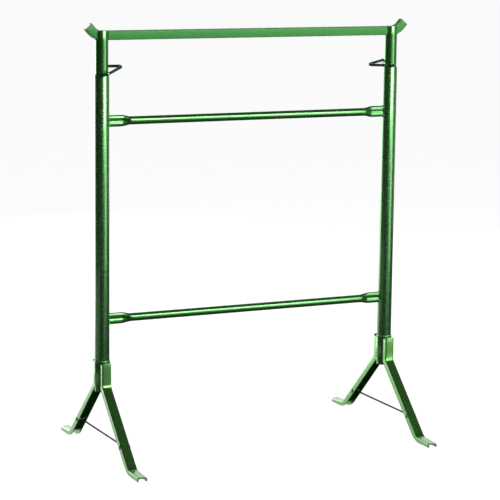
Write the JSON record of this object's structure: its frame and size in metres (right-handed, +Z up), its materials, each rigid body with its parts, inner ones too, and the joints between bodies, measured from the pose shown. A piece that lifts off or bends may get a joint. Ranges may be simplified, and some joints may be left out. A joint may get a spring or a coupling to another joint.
{
  "type": "folding trestle",
  "caption": "Height-adjustable folding steel trestle: tubular frame, telescopic channel head with horned ends and swinging locking bails, swivelling splayed channel feet.",
  "frame": {"origin": "on the floor, mid-way between the two uprights", "axes": "+Z up; +X along the head beam, from the left upright to the right one; -Y is the front, where the beam's web faces"},
  "size_m": [1.1678, 0.7, 1.4123],
  "materials": {
    "painted_tube": "gloss",
    "painted_channel": "gloss",
    "bail_rod": "gloss",
    "pin_steel": "gloss",
    "tie_rod": "satin"
  },
  "bodies": {
    "frame": {"upper_crossbar": "painted_tube", "lower_crossbar": "painted_tube", "left_upright": "painted_tube", "left_stop_collar": "painted_tube", "left_retaining_ring": "painted_tube", "right_upright": "painted_tube", "right_stop_collar": "painted_tube", "right_retaining_ring": "painted_tube"},
    "head": {"head_beam": "painted_channel", "left_inner_tube": "painted_tube", "left_locking_pin": "pin_steel", "right_inner_tube": "painted_tube", "right_locking_pin": "pin_steel"},
    "left_bail": {"left_pin_bail": "bail_rod"},
    "left_foot": {"left_foot_sleeve": "painted_channel", "left_front_leg": "painted_channel", "left_front_tie_rivet": "pin_steel", "left_back_leg": "painted_channel", "left_back_tie_rivet": "pin_steel", "left_tie": "tie_rod"},
    "right_bail": {"right_pin_bail": "bail_rod"},
    "right_foot": {"right_foot_sleeve": "painted_channel", "right_front_leg": "painted_channel", "right_front_tie_rivet": "pin_steel", "right_back_leg": "painted_channel", "right_back_tie_rivet": "pin_steel", "right_tie": "tie_rod"}
  },
  "joints": [
    {"name": "head_slide", "type": "slide", "parent": "frame", "child": "head", "axis": [0, 0, 1], "range_m": [0, 0.7]},
    {"name": "left_bail_swing", "type": "hinge", "parent": "head", "child": "left_bail", "pos_m": [-0.525, 0.038, 1.2563], "axis": [0, 0, 1], "range_deg": [0, 110]},
    {"name": "right_bail_swing", "type": "hinge", "parent": "head", "child": "right_bail", "pos_m": [0.525, 0.038, 1.2563], "axis": [0, 0, -1], "range_deg": [0, 110]},
    {"name": "left_foot_swivel", "type": "hinge", "parent": "frame", "child": "left_foot", "pos_m": [-0.525, 0, 0.27], "axis": [0, 0, 1], "range_deg": [0, 90]},
    {"name": "right_foot_swivel", "type": "hinge", "parent": "frame", "child": "right_foot", "pos_m": [0.525, 0, 0.27], "axis": [0, 0, -1], "range_deg": [0, 90]}
  ]
}
